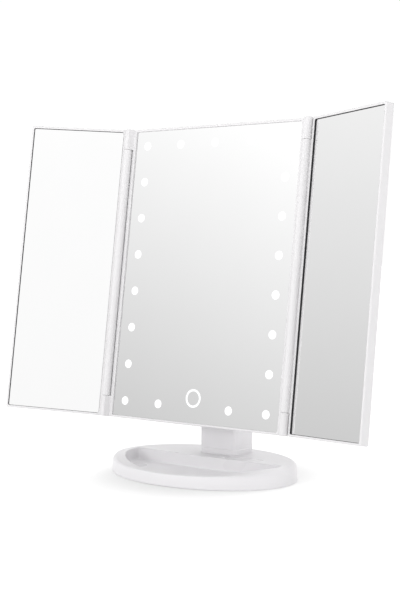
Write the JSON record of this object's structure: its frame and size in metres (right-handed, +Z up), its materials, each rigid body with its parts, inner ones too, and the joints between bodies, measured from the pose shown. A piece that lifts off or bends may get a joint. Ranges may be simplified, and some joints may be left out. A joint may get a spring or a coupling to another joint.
{
  "type": "lighted tri-fold makeup mirror",
  "caption": "Table makeup mirror with a lit centre panel, two folding side mirrors on pin hinges, a tilting head, a touch ring for the light and an oval tray base.",
  "frame": {"origin": "on the table, under the centre of the oval base", "axes": "+Z up, +X to the viewer's right, +Y away from the viewer, so the mirrors face -Y"},
  "size_m": [0.3369, 0.1136, 0.2804],
  "materials": {
    "white_gloss": "glossy white",
    "white_satin": "satin white",
    "mirror": "silvered glass with small frosted light windows",
    "side_mirror": "silvered glass",
    "black_tape": "matt black foam tape",
    "lamp_board": "white board with white lamps",
    "control_board": "green circuit board",
    "steel": "plain steel",
    "plated": "bright plated metal",
    "copper_pad": "copper coloured foil",
    "cell_jacket": "plain printed jacket, no text",
    "rubber": "soft matt rubber",
    "nylon": "natural nylon",
    "red_wire": "red insulation",
    "black_plastic": "fine matt texture"
  },
  "bodies": {
    "stand": {"base_shell": "white_gloss", "base_bottom_plate": "white_satin", "foot_front_left": "rubber", "foot_front_right": "rubber", "foot_rear_left": "rubber", "foot_rear_right": "rubber", "base_screw_1": "steel", "base_screw_2": "steel", "base_screw_3": "steel", "base_screw_4": "steel", "base_ballast_plate": "steel", "neck_body": "white_gloss", "neck_rear_cover": "white_gloss", "neck_bolt": "steel"},
    "head": {"centre_frame": "white_gloss", "centre_mirror": "mirror", "centre_mirror_tape": "black_tape", "centre_rear_cover": "white_gloss", "rear_screw_1": "steel", "rear_screw_2": "steel", "rear_screw_3": "steel", "rear_screw_4": "steel", "led_board": "lamp_board", "touch_sensor_pad": "copper_pad", "control_board": "control_board", "usb_socket": "plated", "power_switch_body": "black_plastic", "battery_1": "cell_jacket", "battery_2": "cell_jacket", "battery_3": "cell_jacket", "battery_4": "cell_jacket", "battery_contact_lower": "plated", "battery_contact_upper": "plated", "battery_lead": "red_wire", "usb_lead": "black_plastic", "pivot_lug_left": "white_gloss", "pivot_lug_right": "white_gloss", "pivot_cap_left": "white_satin", "pivot_cap_right": "white_satin", "friction_washer_left": "nylon", "friction_washer_right": "nylon", "lug_screw_left": "steel", "lug_screw_right": "steel", "tilt_bolt": "steel", "disc_spring_washer": "plated", "tilt_nut": "plated", "left_hinge_pin_upper": "steel", "left_hinge_pin_lower": "steel", "right_hinge_pin_upper": "steel", "right_hinge_pin_lower": "steel"},
    "left_wing": {"left_wing_frame": "white_gloss", "left_wing_mirror": "side_mirror", "left_wing_mirror_tape": "black_tape", "left_wing_rear_cover": "white_gloss"},
    "right_wing": {"right_wing_frame": "white_gloss", "right_wing_mirror": "side_mirror", "right_wing_mirror_tape": "black_tape", "right_wing_rear_cover": "white_gloss"},
    "battery_door": {"battery_door": "white_gloss"},
    "power_switch_knob": {"power_switch_knob": "black_plastic"}
  },
  "joints": [
    {"name": "head_tilt", "type": "hinge", "parent": "stand", "child": "head", "pos_m": [0, 0.0295, 0.082], "axis": [1, 0, 0], "range_deg": [-75, 24]},
    {"name": "left_wing_hinge", "type": "hinge", "parent": "head", "child": "left_wing", "pos_m": [-0.0869, -0.00177, 0.15832], "axis": [0, 0.1418, 0.9899], "range_deg": [-26, 154]},
    {"name": "right_wing_hinge", "type": "hinge", "parent": "head", "child": "right_wing", "pos_m": [0.0869, -0.00177, 0.15832], "axis": [0, -0.1418, -0.9899], "range_deg": [-20.5, 159.5]},
    {"name": "battery_door_slide", "type": "slide", "parent": "head", "child": "battery_door", "axis": [0, 0.1418, 0.9899], "range_m": [0, 0.066]},
    {"name": "power_switch_slide", "type": "slide", "parent": "head", "child": "power_switch_knob", "axis": [0, -0.1418, -0.9899], "range_m": [0, 0.0044]}
  ]
}
